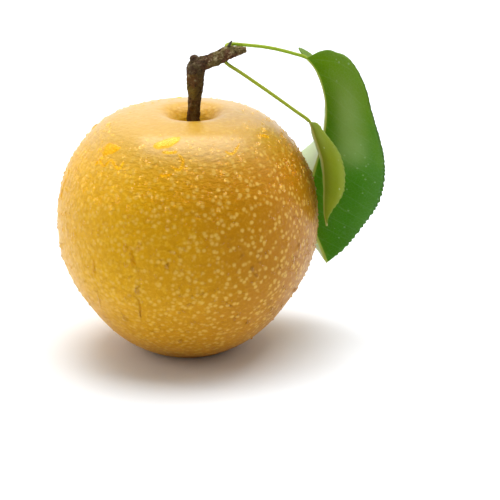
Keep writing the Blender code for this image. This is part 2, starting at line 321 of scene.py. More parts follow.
# Pale flecks of skin grain everywhere, and painted glints of wet skin added on the lit side.
colour = skin.mix(skin.rise(grain, 0.50, 0.66) * (0.12 + 0.24 * sun_side_and_painted_light), colour, FLECK_AND_PAINTED_GLINT)
wander = skin.node("VectorMath", {"operation": "SCALE"},
                   {0: skin.node("TexNoise", {}, {"Vector": place, "Scale": 900.0}, "Color"),
                    "Scale": 0.0005})
strayed = skin.node("VectorMath", {"operation": "ADD"}, {0: place, 1: wander})
cells = skin.node("TexVoronoi", {}, {"Vector": strayed, "Scale": 1 / LENTICEL_CELL}, "Distance")
lenticels = skin.rise(cells, 0.50, 0.14)
colour = skin.mix(lenticels * (0.58 - 0.22 * sun_side_and_painted_light), colour, LENTICEL)
cavity = skin.node("VectorMath", {"operation": "LENGTH"},
                   {0: skin.node("Mapping", {}, {"Vector": centred, "Scale": (1, 1, 0),
                                                 "Location": (-CAVITY_SHIFT, 0, 0)})}, "Value")
# Painted shade: a darker gold inside the cavity.
inside = skin.rise(cavity, 0.010, 0.0045) * skin.rise(height, 0.05, 0.07)
colour = skin.mix(inside * 0.7, colour, CAVITY_PAINTED_SHADE)
# Painted shade: the shoulder round the cavity is darkened and browned under the strong overhead
# light. The same mask gives it the most coat.
shoulder = skin.rise(height, 0.067, 0.080) * skin.rise(cavity, 0.006, 0.012)
colour = skin.mix(shoulder * 0.7, colour, SHOULDER_PAINTED_SHADE)
# The wet film: patches of gloss everywhere, and level ripples of water on the upper part.
wet = skin.cloud(place, 0.006, 3.0)
level = skin.node("Mapping", {}, {"Vector": centred, "Scale": (1, 1, 3.5)})
film = skin.cloud(level, 0.0035, 3.0, 0.6) * skin.rise(height, 0.050, 0.072)
relief = lenticels * 0.8 + grain * 2.6 + mottle * (2.4 + 3.6 * sun_side_and_painted_light) + film * 7.0
skin.surface({"Base Color": colour, "Roughness": 0.40 + (mottle - 0.5) * 0.35,
              "Specular Tint": (1.0, 0.66, 0.18), "Specular IOR Level": 0.27,
              "Coat Weight": skin.rise(wet, 0.36, 0.62) * 0.08 + film * 0.25 + shoulder * 0.8,
              "Coat Roughness": 0.30, "Coat IOR": 1.45, "IOR": 1.45,
              "Subsurface Weight": 0.06, "Subsurface Radius": (1.0, 0.40, 0.05),
              "Subsurface Scale": 0.003, "Normal": skin.relief(relief, SKIN_RELIEF)})


def turned_grid(rows, sides):
    """Grid of bearings, even round the circle, and stations, even from 0 to 1 over the rows."""
    stations, bearings = np.meshgrid(np.linspace(0, 1, rows), np.arange(sides) / sides * 2 * np.pi,
                                     indexing="ij")
    return bearings, stations


fruit = mesh_piece("pear_fruit", closed_points(skin_point(*turned_grid(SKIN_ROWS, SKIN_COLUMNS))),
                   closed_faces(SKIN_ROWS, SKIN_COLUMNS), skin)
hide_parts("fruit")

# Calyx scar
#
# The dry brown scar that the flower left, a small corky disc with a sunk middle and a cracked
# rim. It grows in the roof of the basin under the fruit.

CALYX_LOW, CALYX_HIGH = (np.array(corner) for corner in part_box("calyx"))
CALYX_ROWS, CALYX_SIDES = 40, 64
CORK_DARK = (0.035, 0.018, 0.009)
CORK_PALE = (0.16, 0.09, 0.045)
CORK_RELIEF = 0.0002


def calyx_point(turn, station):
    """Point of the scar: its low dome's profile turned round, its rim notched by nine waves."""
    shares = np.array([0.0, 0.15, 0.3, 0.42, 0.55, 0.75, 1.0])
    radius = np.interp(station, shares, [0.01, 0.35, 0.6, 0.85, 1.0, 1.0, 0.01])
    depth = np.interp(station, shares, [0.7, 0.75, 1.0, 0.9, 0.5, 0.0, 0.0])
    rim = (station > 0.1) * (station < 0.8)
    radius = radius * (1 - 0.06 * (0.5 + 0.5 * np.cos(9 * turn)) * rim)
    size = CALYX_HIGH - CALYX_LOW
    return np.stack([FRUIT_AXIS[0] + size[0] / 2 * radius * np.cos(turn),
                     FRUIT_AXIS[1] + size[1] / 2 * radius * np.sin(turn),
                     CALYX_HIGH[2] - size[2] * depth], axis=-1)


cork = Finish("dry_cork")
place = cork.node("TexCoord", output="Object")
crumbs = cork.cloud(place, 0.0006, 5.0, 0.7)
colour = cork.mix(cork.rise(crumbs, 0.35, 0.65), CORK_DARK, CORK_PALE)
cork.surface({"Base Color": colour, "Roughness": 0.9, "Normal": cork.relief(crumbs, CORK_RELIEF)})

calyx = mesh_piece("calyx_scar", closed_points(calyx_point(*turned_grid(CALYX_ROWS, CALYX_SIDES))),
                   closed_faces(CALYX_ROWS, CALYX_SIDES), cork)
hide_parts("calyx")

# Stalk
#
# The woody stalk, rough olive-brown bark with grey and ochre flecks, with painted shade where it
# leaves the flesh inside the cavity and down its shaded side. It widens into the joint and its top
# runs into the spur.

STALK_LENGTH = 0.0218
STALK_LEAN = 0.0012
JOINT_WIDTH = 1.35
GAP = 0.0003
STALK_FOOT = FRUIT_HEIGHT - CAVITY_DEPTH + GAP
STALK_ROWS, STALK_SIDES = 190, 96
STALK_BARK = 0.00025
STALK_RELIEF = 0.00035
FURROW_RADIUS, FURROW_DRAW, FURROW_WIDTH = 0.0026, 0.30, 0.0016
FLAKE_LENGTH, WART_LENGTH, CRUMB_LENGTH = 0.0026, 0.0011, 0.0006
STALK_SHADED = (0.050, 0.022, 0.010)
STALK_FOOT_PAINTED_SHADE = (0.050, 0.020, 0.008)


def rod_frame(route):
    """Unit heading along each row of a route in the XZ plane, and the upright across it."""
    heading = unit(np.gradient(route[:, :3], axis=0))
    return heading, np.cross(heading, (0.0, 1.0, 0.0))


def bark_rod(route, sides, depth, seed):
    """Rings of a bark-covered rod along a route of x, y, z and radius.

    A ring's point lies its cosine across and its sine up from the route, at the radius plus the
    bark: furrows that follow the rod, as a swell on a cylinder whose length is drawn in, and
    flakes, warts and crumbs that don't. The bark thins out where the rod is slender.
    """
    turn = np.arange(sides) / sides * 2 * np.pi
    _, up = rod_frame(route)
    across = np.cos(turn)[None, :, None] * np.array([0.0, 1.0, 0.0])
    away = across + np.sin(turn)[None, :, None] * up[:, None, :]
    core = route[:, None, :3] + away * route[:, None, 3:4]
    length = np.concatenate([[0], np.cumsum(np.linalg.norm(np.diff(route[:, :3], axis=0), axis=1))])
    cylinder = np.stack(np.broadcast_arrays(
        FURROW_RADIUS * np.cos(turn)[None], FURROW_RADIUS * np.sin(turn)[None],
        FURROW_DRAW * length[:, None]), axis=-1)
    bark = depth * (0.55 * ripple(cylinder, FURROW_WIDTH, seed)
                    + 0.6 * ripple(core, FLAKE_LENGTH, seed + 1)
                    + 0.35 * ripple(core, WART_LENGTH, seed + 2)
                    + 0.2 * ripple(core, CRUMB_LENGTH, seed + 3))
    fade = np.clip(route[:, 3] / route[:, 3].max() * 1.6, 0, 1)[:, None]
    return core + away * (bark * fade)[..., None] + FRUIT_AXIS


def bark_finish(name, ground, dark, pale, red):
    """Rough bark: dark in the cracks, a ground tone with pale scabs, and reddish patches."""
    bark = Finish(name)
    place = bark.node("TexCoord", output="Object")
    scabs = bark.cloud(place, 0.0013, 5.0, 0.7)
    fine = bark.cloud(place, 0.0004, 4.0, 0.7)
    patches = bark.cloud(place, 0.004, 3.0)
    colour = bark.mix(bark.rise(patches, 0.45, 0.62), ground, red)
    colour = bark.mix(bark.rise(scabs, 0.54, 0.68) * 0.8, colour, pale)
    colour = bark.mix(bark.rise(scabs + (fine - 0.5) * 0.4, 0.46, 0.34), colour, dark)
    relief = scabs + fine * 0.4
    return bark, place, colour, relief


stalk_stations = ((0.0, 1.0), (0.3, 0.98), (0.6, 1.0), (0.76, 1.2), (0.88, 1.31),
                  (1.0, JOINT_WIDTH), (1.04, 0.94 * JOINT_WIDTH))
stalk_rows = [(CAVITY_SHIFT + STALK_LEAN * share, 0.0, STALK_FOOT + STALK_LENGTH * share,
               STALK_DIAMETER / 2 * width) for share, width in stalk_stations]
bark, place, colour, relief = bark_finish(
    "stalk_bark", ground=(0.17, 0.115, 0.016), dark=(0.014, 0.008, 0.003),
    pale=(0.34, 0.28, 0.12), red=(0.12, 0.055, 0.014))
side = bark.node("SeparateXYZ", {}, {"Vector": place}, "X")
up = bark.node("SeparateXYZ", {}, {"Vector": place}, "Z")
middle = float(FRUIT_AXIS[0] + CAVITY_SHIFT)
shaded = bark.rise(side, middle + 0.0002, middle + 0.0022) * 0.65
colour = bark.mix(shaded, colour, STALK_SHADED)
# Painted shade on the stalk's foot, where it stands in the cavity.
foot = bark.rise(up, STALK_FOOT + 0.012, STALK_FOOT + 0.007)
colour = bark.mix(foot * 0.6, colour, STALK_FOOT_PAINTED_SHADE)
bark.surface({"Base Color": colour, "Roughness": 0.82, "Specular IOR Level": 0.2,
              "Normal": bark.relief(relief, STALK_RELIEF)})
rod = bark_rod(smooth_curve(stalk_rows, STALK_ROWS), STALK_SIDES, STALK_BARK, 20)
stalk = mesh_piece("stalk_wood", closed_points(rod), closed_faces(STALK_ROWS, STALK_SIDES), bark)
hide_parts("stalk")

# Spur
#
# The piece of fruiting spur that came away with the fruit: a dark knuckle over the stalk's top
# with the stub of an older shoot on it, and a thinner twig that ends in an oblique pale break.

SPUR_LENGTH = 0.0168
SPUR_RISE = 0.0078
SPUR_DIAMETER = 0.0046
STUB_LENGTH = 0.0034
SPUR_ROWS, STUB_ROWS, SPUR_SIDES = 230, 60, 88
SPUR_BARK = 0.00028
SPUR_RELIEF = 0.0004
KNUCKLE_DARK = (0.045, 0.022, 0.014)
FIBRE_DARK = (0.26, 0.15, 0.07)
FIBRE_PALE = (0.50, 0.36, 0.22)


def spur_route(count):
    """Rows of x, y, z and radius from just over the stalk's top to the spur's broken end."""
    start_x = CAVITY_SHIFT + STALK_LEAN
    start_z = STALK_FOOT + STALK_LENGTH + GAP
    joint = JOINT_WIDTH * STALK_DIAMETER / SPUR_DIAMETER
    stations = ((0.0, 0.0, joint), (0.015, 0.22, joint), (0.12, 0.38, 1.1), (0.28, 0.49, 0.98),
                (0.48, 0.68, 1.0), (0.66, 0.86, 0.92), (0.83, 0.94, 0.68), (1.0, 0.99, 0.36))
    rows = [(start_x + SPUR_LENGTH * along, 0.0, start_z + SPUR_RISE * up,
             SPUR_DIAMETER / 2 * width) for along, up, width in stations]
    return smooth_curve(rows, count)


def spur_surface(share, lean, beyond):
    """Point beyond the spur's bark at a share of its route, lean degrees from straight up to +Y."""
    route = spur_route(101)
    row = round(100 * share)
    heading = unit(route[row + 1, :3] - route[row - 1, :3])
    side = np.array([0.0, 1.0, 0.0])
    outward = np.sin(np.radians(lean)) * side + np.cos(np.radians(lean)) * np.cross(heading, side)
    return route[row, :3] + outward * (route[row, 3] + beyond), outward


twig, place, colour, relief = bark_finish(
    "spur_bark", ground=(0.13, 0.095, 0.030), dark=(0.014, 0.008, 0.004),
    pale=(0.46, 0.38, 0.21), red=(0.10, 0.045, 0.018))
east = twig.node("SeparateXYZ", {}, {"Vector": place}, "X")
knuckle_edge = float(FRUIT_AXIS[0] + CAVITY_SHIFT + STALK_LEAN)
knuckled = twig.rise(east, knuckle_edge + 0.0048, knuckle_edge + 0.0010)
colour = twig.mix(knuckled * 0.55, colour, KNUCKLE_DARK)
broken = twig.node("Attribute", {"attribute_name": "broken"}, {}, "Fac")
fibres = twig.cloud(place, 0.0004, 4.0)
colour = twig.mix(broken, colour, twig.mix(fibres, FIBRE_DARK, FIBRE_PALE))
twig.surface({"Base Color": colour, "Roughness": 0.85, "Specular IOR Level": 0.2,
              "Normal": twig.relief(relief, SPUR_RELIEF)})

# The stub rises from the knuckle's middle, leans back over the stalk and narrows to a worn end.
arm = bark_rod(spur_route(SPUR_ROWS), SPUR_SIDES, SPUR_BARK, 40)
knuckle = spur_route(20)[3]
share = np.linspace(0, 1, STUB_ROWS)[:, None]
stub_rows = knuckle + share * (-0.55 * STUB_LENGTH, 0.0, STUB_LENGTH, 0)
stub_width = 0.50 - 0.26 * share[:, 0]
stub_rows[:, 3] = SPUR_DIAMETER * stub_width * (1 - 0.25 * rising(share[:, 0], 0.9, 1))
stub = bark_rod(stub_rows, SPUR_SIDES, SPUR_BARK, 60)
points = np.concatenate([closed_points(arm), closed_points(stub)])
arm_rings = SPUR_ROWS * SPUR_SIDES
faces = np.concatenate([closed_faces(SPUR_ROWS, SPUR_SIDES),
                        closed_faces(STUB_ROWS, SPUR_SIDES) + arm_rings + 2])
spur = mesh_piece("spur_wood", points, faces, twig)
# The break is the arm's last two rings and its far end point.
ends = np.zeros(len(points), np.float32)
ends[arm_rings - 2 * SPUR_SIDES:arm_rings] = 1
ends[arm_rings + 1] = 1
spur.data.attributes.new("broken", "FLOAT", "POINT").data.foreach_set("value", ends)
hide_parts("spur")

# Bud
#
# The small pointed leaf bud on the spur's upper side, wrapped in overlapping dark olive scales.
# It grows from the bark and leans towards the spur's end.

BUD_LENGTH = 0.0024
BUD_DIAMETER = 0.0010
BUD_ROWS, BUD_SIDES = 60, 32
SCALE_DARK = (0.030, 0.028, 0.012)
SCALE_PALE = (0.11, 0.10, 0.045)
SCALE_RELIEF = 0.00015
SCALE_GRAIN = 0.00002

scales = Finish("bud_scales")
place = scales.node("TexCoord", output="Object")
tone = scales.cloud(place, 0.0005, 3.0)
colour = scales.mix(tone, SCALE_DARK, SCALE_PALE)
scales.surface({"Base Color": colour, "Roughness": 0.6,
                "Normal": scales.relief(tone, SCALE_RELIEF)})

bud_root, outward = spur_surface(0.73, lean=-8, beyond=GAP)
bud_tip = bud_root + unit(outward + np.array([0.9, 0.0, 0.0])) * BUD_LENGTH
bud_rows = [(*(bud_root + (bud_tip - bud_root) * share), BUD_DIAMETER / 2 * width)
            for share, width in ((0.0, 0.7), (0.3, 1.0), (0.6, 0.85), (0.85, 0.45), (1.0, 0.06))]
# Four scales, each of which narrows by a seventh before the next one starts.
bud_route = smooth_curve(bud_rows, BUD_ROWS)
steps = np.arange(BUD_ROWS) / BUD_ROWS
bud_route[:, 3] *= 1 - 0.14 * (steps * 4 % 1)
bud = mesh_piece("leaf_bud", closed_points(bark_rod(bud_route, BUD_SIDES, SCALE_GRAIN, 80)),
                 closed_faces(BUD_ROWS, BUD_SIDES), scales)
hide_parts("bud")

# Leaves
#
# Two leaves from the same spur, each a thin blade folded along its midrib on a slender petiole.
# The margin is finely toothed, the midrib stands out below, and the veins run towards the tip.

PETIOLE_DIAMETER = 0.0012
LEAF_THICKNESS = 0.0005
LARGE_LEAF_DROP = 0.0768
LARGE_LEAF_HALF_WIDTH = 0.026
SMALL_LEAF_DROP = 0.0367
SMALL_LEAF_HALF_WIDTH = 0.0124
TOOTH_SPACING = 0.0019
TOOTH_DEPTH = 0.00065
TOOTH_DRIFT = 0.0004
VEIN_SPACING = 0.0062
VEIN_SLOPE = 0.62
NOMINAL_LENGTH = 0.11
HOLD_DEPTH, HOLD_BACK = 0.0012, 0.0010
PILLOW_HEIGHT = 0.00006
WAVE_HEIGHT = 0.0006
CREASE_WIDTH = 0.0009
LARGE_LEAF_ROWS, SMALL_LEAF_ROWS, LEAF_SIDES = 460, 340, 72
DROPLET_GLINT = (0.85, 0.92, 0.60)
LEAF_RELIEF = 0.00012


def direction(bearing, rise):
    """Unit vectors at a bearing from +X towards +Y and a rise above level, in degrees."""
    bearing = np.radians(bearing)
    rise = np.radians(rise)
    return np.stack([np.cos(rise) * np.cos(bearing), np.cos(rise) * np.sin(bearing),
                     np.sin(rise)], axis=-1)


def leaf_route(root, outward, reach, sag, blade, drop, half_width, count):
    """Spline rows of a leaf: x, y, z, blade share, half width, near bearing and rise, far ones.

    The petiole starts inside the bark: from its root at the surface, a hold's depth against the
    outward direction and a hold's length away from the blade's base. Beyond the root it arches
    to that base by four times its share times the rest.
    Each blade row gives the gap beyond the fruit's girth, the bearing, the share of the drop
    below the shoulder, the share of the half width, and where the two halves point.
    """
    places = []
    for gap, bearing, down, width, *sides in blade:
        reach_out = FRUIT_RADIUS + gap
        turn = np.radians(bearing)
        places.append([reach_out * np.cos(turn), reach_out * np.sin(turn),
                       FRUIT_HEIGHT - drop * down, 1.0, half_width * width, *sides])
    places[0][3:5] = 0.0, 0.0
    base = np.array(places[0][:3])
    held = root - HOLD_DEPTH * outward - HOLD_BACK * unit(base - root)
    stem = [[*place, 0.0, 0.0, *places[0][5:]] for place in (held, root)]
    for share in reach:
        middle = root + (base - root) * share
        middle[2] += sag * 4 * share * (1 - share)
        stem.append([*middle, 0.0, 0.0, *places[0][5:]])
    return smooth_curve(stem + places, count)


def leaf_piece(name, route, finish, seed):
    """One leaf over its route: a ring round the petiole that opens into two wings and a midrib.

    Round a ring, the reach goes from the near margin over the upper side to the far margin and
    back below. A wing's point lies its reach times the half width along that half's direction,
    raised by half the leaf's thickness, which thins towards the margin, by a bell-shaped midrib
    below, by a pillowed swell between the veins, by an arch of the reach less its square and by
    a slow wave that grows with the square of the reach. The two halves meet in a soft crease.
    The margin's teeth are a saw whose slope climbs towards the tip, and whose depth grows over
    the leaf's second half.
    """
    count = len(route)
    sides = LEAF_SIDES
    place = route[:, :3]
    bladed = np.clip(route[:, 3:4], 0, 1)
    share = np.linspace(0, 1, count)[:, None]
    stem = PETIOLE_DIAMETER / 2 * (1 - 0.65 * bladed * share)
    wide = np.maximum(route[:, 4:5], 0.2 * PETIOLE_DIAMETER)
    heading = unit(np.gradient(place, axis=0))
    near = direction(route[:, 5], route[:, 6])
    far = direction(route[:, 7], route[:, 8])
    near_up = unit(np.cross(heading, near))
    far_up = unit(np.cross(far, heading))
    middle_up = unit(near_up + far_up)
    middle_side = unit(np.cross(middle_up, heading))
    length = np.cumsum(np.linalg.norm(np.gradient(place, axis=0), axis=1))[:, None]
    turn = (np.arange(sides) / sides * 2 * np.pi)[None, :]
    spread = np.abs(1 - 2 * (turn % np.pi) / np.pi)
    reach = np.clip((spread - 0.04) / 0.96, 0, 1) ** 1.15
    near_half = np.cos(turn) > 0
    under = np.sin(turn) < -1e-9
    tooth = (length + TOOTH_DRIFT * np.sin(length * 900 + seed)) / TOOTH_SPACING % 1
    saw = np.where(tooth < 0.72, tooth / 0.72, (1 - tooth) / 0.28)
    toothed = rising(reach, 0.86, 1) * rising(wide, 0.002, 0.006)
    toothed = toothed * (0.3 + 0.7 * rising(length / length[-1], 0.55, 0.8))
    distance = wide * reach + TOOTH_DEPTH * (saw - 0.6) * toothed
    slant = length - VEIN_SLOPE * distance
    pillow = PILLOW_HEIGHT * np.cos(slant / VEIN_SPACING * 2 * np.pi) * rising(reach, 0.05, 0.3)
    wave = WAVE_HEIGHT * np.sin(length * 210 + 2.2 * near_half + seed) * reach ** 2
    wave = wave * rising(wide, 0, 0.012)
    arch = 0.05 * wide * (reach - reach ** 2)
    thick = LEAF_THICKNESS / 2 * (1 - 0.62 * reach ** 2)
    thick = thick * np.sqrt(np.clip((1 - reach) * 12, 0, 1))
    ridge = stem * np.exp(-(distance / (0.75 * stem)) ** 2)
    raise_by = np.where(under, -thick - ridge, thick - 0.25 * ridge) + pillow + wave + arch
    towards = np.where(near_half[..., None], near[:, None], far[:, None])
    up = np.where(near_half[..., None], near_up[:, None], far_up[:, None])
    blend = np.exp(-(distance / CREASE_WIDTH) ** 2)[..., None]
    up = unit(up * (1 - blend) + middle_up[:, None] * blend)
    wing = towards * distance[..., None] + up * raise_by[..., None]
    tube = middle_side[:, None] * (stem * np.cos(turn))[..., None]
    tube = tube + middle_up[:, None] * (stem * np.sin(turn))[..., None]
    opened = bladed[..., None]
    rings = place[:, None] + tube * (1 - opened) + wing * opened + FRUIT_AXIS
    leaf = mesh_piece(name, closed_points(rings), closed_faces(count, sides), finish)
    columns = {"along": length / length[-1], "across": distance,
               "margin": reach * rising(wide, 0.001, 0.003), "bladed": bladed,
               "under": under, "near": near_half}
    for key, values in columns.items():
        values = np.broadcast_to(values, (count, sides)).reshape(-1)
        values = np.concatenate([values, values[[0, -1]]]).astype(np.float32)
        leaf.data.attributes.new(key, "FLOAT", "POINT").data.foreach_set("value", values)
    return leaf


def leaf_finish(name, base, tip, painted_sheen, inner, pale, midrib, stem_green, see_through, rim):
    """Living leaf: its green changes from base to tip and beside the midrib, with a painted sheen
    in the middle of each half's width, paler veins and midrib, a far upper side painted pale as
    painted light, a waxy gloss, and a share of light that comes through the blade. The rim is how
    pale the margin gets, and the pale specks painted as glints of water drops grow clearer with
    it. Side veins slant and follow each other as on the mesh, on a leaf of the nominal length."""
    leaf = Finish(name)
    place = leaf.node("TexCoord", output="Object")
    along, across, margin, bladed, under, near = (
        leaf.node("Attribute", {"attribute_name": key}, {}, "Fac")
        for key in ("along", "across", "margin", "bladed", "under", "near"))
    tone = leaf.cloud(place, 0.011, 3.0)
    fine = leaf.cloud(place, 0.0009, 3.0, 0.6)
    down = leaf.rise(along + (tone - 0.5) * 0.4 + (fine - 0.5) * 0.08, 0.38, 0.66)
    colour = leaf.mix(down, base, tip)
    # Painted sheen: a pale band in the middle of each half's width.
    painted_sheen_share = leaf.rise(margin, 0.05, 0.40) * leaf.rise(margin, 0.92, 0.55)
    painted_sheen_share = painted_sheen_share * leaf.rise(along, 0.32, 0.50) * leaf.rise(along, 0.69, 0.57)
    colour = leaf.mix(painted_sheen_share * (0.80 + (tone - 0.5) * 0.8), colour, painted_sheen)
    colour = leaf.mix(leaf.rise(margin, 0.55, 0.05) * 0.55, colour, inner)
    # Painted light: the far half's upper side painted pale.
    far_upper_painted_light = (1.0 - near) * (1.0 - under) * leaf.rise(along, 0.30, 0.55)
    colour = leaf.mix(far_upper_painted_light * 0.9, colour, pale)
    slant = (along * NOMINAL_LENGTH - across * VEIN_SLOPE) / VEIN_SPACING
    vein = leaf.node("Math", {"operation": "PINGPONG"}, {0: slant, 1: 0.5})
    veins = leaf.rise(vein, 0.055, 0.015) * leaf.rise(margin, 1.0, 0.75)
    net = leaf.node("TexVoronoi", {"feature": "DISTANCE_TO_EDGE"},
                    {"Vector": place, "Scale": 1 / 0.0012})
    netted = leaf.rise(net, 0.07, 0.0)
    colour = leaf.mix(veins * 0.06 + netted * 0.08, colour, pale)
    colour = leaf.mix(leaf.rise(margin, 0.60, 0.99) * rim, colour, pale)
    beside = leaf.rise(across, 0.0026, 0.0014) * under
    colour = leaf.mix(beside * 0.6, colour, inner)
    colour = leaf.mix(leaf.rise(across, 0.0010, 0.0005) * 0.9, colour, midrib)
    colour = leaf.mix(1 - leaf.rise(bladed, 0.2, 0.9), colour, stem_green)
    # Painted glints: pale specks that stand for water drops on the blade.
    spots = leaf.node("TexVoronoi", {}, {"Vector": place, "Scale": 1 / 0.0032}, "Distance")
    droplet_glints = leaf.rise(spots, 0.15, 0.10) * leaf.rise(margin, 0.15, 0.35)
    droplet_glints = droplet_glints * leaf.rise(tone, 0.42, 0.52)
    colour = leaf.mix(droplet_glints * (0.25 + rim), colour, DROPLET_GLINT)
    relief = veins * 0.3 + netted * 0.15 + fine * 0.25
    shader = leaf.node("BsdfPrincipled", {}, {
        "Base Color": colour, "Roughness": 0.42 + (fine - 0.5) * 0.3, "IOR": 1.4,
        "Specular IOR Level": 0.2, "Coat Weight": leaf.rise(tone, 0.4, 0.7) * 0.10,
        "Coat Roughness": 0.3, "Normal": leaf.relief(relief, LEAF_RELIEF)})
    glow = leaf.node("BsdfTranslucent", {}, {"Color": see_through})
    both = leaf.node("MixShader", {}, {0: 0.40, 1: shader, 2: glow})
    leaf.node("OutputMaterial", {}, {"Surface": both})
    return leaf


green = leaf_finish(
    "leaf_green", base=(0.155, 0.240, 0.006), tip=(0.020, 0.120, 0.001), painted_sheen=(0.50, 0.56, 0.28),
    inner=(0.06, 0.115, 0.002), pale=(0.80, 0.88, 0.62), midrib=(0.74, 0.74, 0.22),
    stem_green=(0.50, 0.56, 0.06), see_through=(0.33, 0.62, 0.02), rim=0.05)
root, outward = spur_surface(0.72, lean=40, beyond=GAP + PETIOLE_DIAMETER / 2)
# From base to tip: the columns are those that leaf_route takes from a blade's row.
large_blade = (
    (-0.0025, 18.3, -0.20, 0.0, -30, 40, 106, 6),
    (-0.0014, 18.2, -0.185, 0.20, -32, 40, 130, 34),
    (-0.0001, 18.0, -0.165, 0.37, -36, 38, 94, 14),
    (0.0021, 17.8, -0.12, 0.56, -41, 33, 91, 1),
    (0.0048, 17.9, -0.01, 0.82, -47, 15, 88, 1),
    (0.0054, 18.9, 0.12, 0.88, -42, 11, 87, 8),
    (0.0043, 21.9, 0.26, 0.95, -30, 7, 83, 5),
    (0.0032, 25.3, 0.38, 1.0, -18, 5, 101, 0),
    (0.0034, 27.9, 0.50, 0.94, -14, 2, 111, 0),
    (0.0052, 29.3, 0.63, 0.68, -13, 1, 117, 0),
    (0.0082, 28.6, 0.74, 0.33, -13, 0, 118, 0),
    (0.0104, 27.8, 0.82, 0.0, -13, 0, 118, 0),
)
route = leaf_route(root, outward, reach=(0.2, 0.45, 0.7, 0.88), sag=0.0012, blade=large_blade,
                   drop=LARGE_LEAF_DROP, half_width=LARGE_LEAF_HALF_WIDTH, count=LARGE_LEAF_ROWS)
large_leaf = leaf_piece("large_leaf_blade", route, green, 1.0)
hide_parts("large_leaf")

olive = leaf_finish(
    "leaf_olive", base=(0.30, 0.34, 0.022), tip=(0.34, 0.42, 0.040), painted_sheen=(0.40, 0.50, 0.12),
    inner=(0.13, 0.105, 0.015), pale=(0.56, 0.66, 0.20), midrib=(0.66, 0.60, 0.26),
    stem_green=(0.46, 0.50, 0.06), see_through=(0.55, 0.70, 0.10), rim=0.5)
root, outward = spur_surface(0.60, lean=185, beyond=GAP + PETIOLE_DIAMETER / 2)
small_blade = (
    (-0.0034, -2.1, 0.07, 0.0, -50, 24, 98, 4),
    (-0.0028, -2.4, 0.10, 0.24, -52, 26, 98, 4),
    (-0.0020, -2.8, 0.15, 0.44, -55, 26, 98, 2),
    (-0.0009, -3.3, 0.24, 0.66, -58, 24, 98, 0),
    (0.0012, -3.8, 0.41, 0.93, -59, 18, 95, 0),
    (0.0020, -4.4, 0.57, 1.0, -59, 13, 92, 0),
    (0.0022, -4.4, 0.71, 0.96, -58, 13, 91, 0),
    (0.0022, -5.0, 0.83, 0.74, -59, 14, 90, 0),
    (0.0024, -6.2, 0.93, 0.32, -60, 14, 90, 0),
    (0.0032, -7.3, 1.04, 0.0, -60, 14, 90, 0),
)
route = leaf_route(root, outward, reach=(0.12, 0.35, 0.6, 0.84), sag=0.0003, blade=small_blade,
                   drop=SMALL_LEAF_DROP, half_width=SMALL_LEAF_HALF_WIDTH, count=SMALL_LEAF_ROWS)
small_leaf = leaf_piece("small_leaf_blade", route, olive, 4.0)
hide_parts("small_leaf")

# Water
#
# Water left from washing: fine clear beads all over the skin, a few large flat drops on the
# shoulder, and narrow trails where drops ran. It clings by surface tension. The flat drops and
# trails are tinted gold: painted light that stands for the skin's gold glowing through them.

BEAD_COUNT = 2400
BEAD_SINK = 0.00012
BEAD_SIDES = 8
TRAIL_SIDES = 24
WATER_IOR = 1.333

water = Finish("clear_water")
water.surface({"Base Color": (1.0, 0.97, 0.88), "Roughness": 0.03, "IOR": WATER_IOR,
               "Transmission Weight": 1.0})
# Painted light: the drops' and trails' water is tinted gold for the skin's glow through it.
deep = Finish("deep_water")
deep.surface({"Base Color": (0.98, 0.88, 0.14), "Roughness": 0.03, "IOR": WATER_IOR,
              "Specular Tint": (0.6, 0.5, 0.25), "Transmission Weight": 1.0})


def skin_frame(bearing, station):
    """Point of the skin, its outward unit normal and its unit tangents round and upwards, from
    differences of the skin a small step either side."""
    step = 0.004
    point = skin_point(bearing, station)
    level = unit(skin_point(bearing + step, station) - skin_point(bearing - step, station))
    upward = unit(skin_point(bearing, station + step) - skin_point(bearing, station - step))
    return point, unit(np.cross(level, upward)), level, upward


def station_at(height):
    """Share of the outline's length where the outside reaches a height above the floor."""
    girth = OUTLINE[:, 0].argmax()
    foot = np.argmin(OUTLINE[:girth, 1])
    top = OUTLINE[:, 1].argmax()
    shares = np.arange(foot, top + 1) / (len(OUTLINE) - 1)
    return np.interp(height, OUTLINE[foot:top + 1, 1], shares)


# A bead is a low dome of four rings, the last one sunk in the skin. One in thirty or so is large:
# wider, drawn out upwards and flatter.
chance = np.random.default_rng(11)
bearing = chance.uniform(0, 2 * np.pi, BEAD_COUNT)
station = station_at(FRUIT_HEIGHT * chance.beta(2.6, 1.5, BEAD_COUNT))
size = 0.00028 + 0.00050 * chance.beta(1.3, 3.6, BEAD_COUNT)
large = chance.random(BEAD_COUNT) < 0.035
size = np.where(large, size + chance.uniform(0.0003, 0.0006, BEAD_COUNT), size)
point, away, level, upward = skin_frame(bearing, station)
dome = np.array([(0.45, 0.88), (0.8, 0.55), (1.0, 0.0), (0.9, -0.5)])
turn = np.arange(BEAD_SIDES) / BEAD_SIDES * 2 * np.pi
long = np.where(large, chance.uniform(1.1, 1.7, BEAD_COUNT), 1.0)
tall = np.where(large, 0.5, 0.72) * size
out = dome[None, :, None, 0] * np.stack([np.cos(turn), np.sin(turn)])[:, None, None, :]
up = np.where(dome[:, 1] > 0, dome[:, 1], 0)[None, :] * tall[:, None]
up = up - BEAD_SINK * (dome[:, 1] < 0)
rings = (point[:, None, None] + level[:, None, None] * (size[:, None, None] * out[0])[..., None]
         + upward[:, None, None] * ((size * long)[:, None, None] * out[1])[..., None]
         + away[:, None, None] * up[:, :, None, None])
ends = np.stack([point + away * tall[:, None], point - away * BEAD_SINK], axis=1)
points = np.concatenate([rings.reshape(BEAD_COUNT, -1, 3), ends], axis=1).reshape(-1, 3)
bead_faces = closed_faces(len(dome), BEAD_SIDES)
bead_points = len(dome) * BEAD_SIDES + 2
faces = (bead_faces[None] + bead_points * np.arange(BEAD_COUNT)[:, None, None]).reshape(-1, 4)
beads = mesh_piece("water_beads", points, faces, water)
